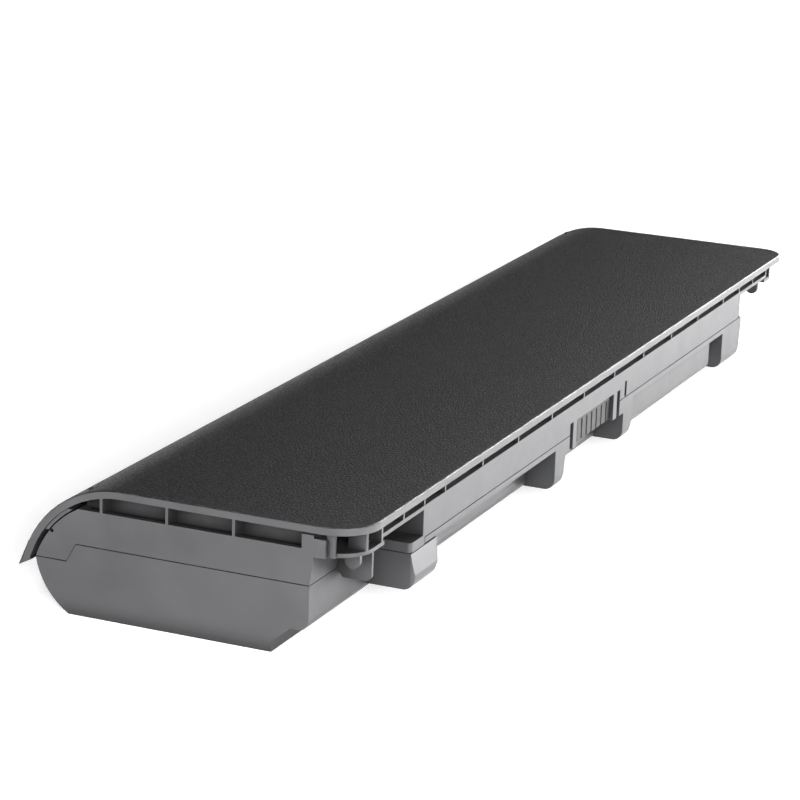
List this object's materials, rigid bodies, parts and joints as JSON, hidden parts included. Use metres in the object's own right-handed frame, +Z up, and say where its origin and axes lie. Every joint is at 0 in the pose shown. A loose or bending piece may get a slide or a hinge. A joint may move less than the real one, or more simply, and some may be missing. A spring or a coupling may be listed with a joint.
{
  "type": "laptop battery",
  "caption": "Long flat laptop battery with a textured cover rolled down along one side, a stepped base, feet, latch recesses and a contact block.",
  "frame": {"origin": "middle of the footprint's bounding box, on the surface that the battery rests on", "axes": "+X along the length towards the far end, +Y towards the rolled edge and away from the contacts, +Z up through the cover"},
  "size_m": [0.205, 0.0564, 0.0205],
  "materials": {
    "case": "fine grain on the cover, satin on the walls",
    "contact_block": "matte",
    "contact_metal": "gold plated",
    "cell_sleeve": "shrink film",
    "cell_ring": "matte fibre",
    "nickel": "bright rolled",
    "board": "solder mask",
    "chip": "moulded",
    "small_parts": "ceramic",
    "fuse": "ceramic",
    "red_wire": "satin",
    "black_wire": "satin",
    "sense_wire": "satin",
    "fibre_sheet": "matte",
    "foam": "open foam"
  },
  "bodies": {
    "root": {"upper_case": "case", "lower_case": "case", "connector_housing": "contact_block", "contacts": "contact_metal", "cell_1": "cell_sleeve", "cell_2": "cell_sleeve", "cell_3": "cell_sleeve", "cell_4": "cell_sleeve", "cell_5": "cell_sleeve", "cell_6": "cell_sleeve", "cell_rings": "cell_ring", "strip_plus": "nickel", "strip_mid_1": "nickel", "strip_mid_2": "nickel", "strip_minus": "nickel", "board": "board", "gauge_chip": "chip", "protector_chip": "chip", "mosfets": "chip", "shunt": "chip", "fuse": "fuse", "chip_parts": "small_parts", "thermistor": "chip", "lead_plus": "red_wire", "lead_minus": "black_wire", "sense_leads": "sense_wire", "insulation_sheet": "fibre_sheet", "foam_pads": "foam", "cell_saddles": "case", "row_spacers": "case"}
  },
  "joints": []
}
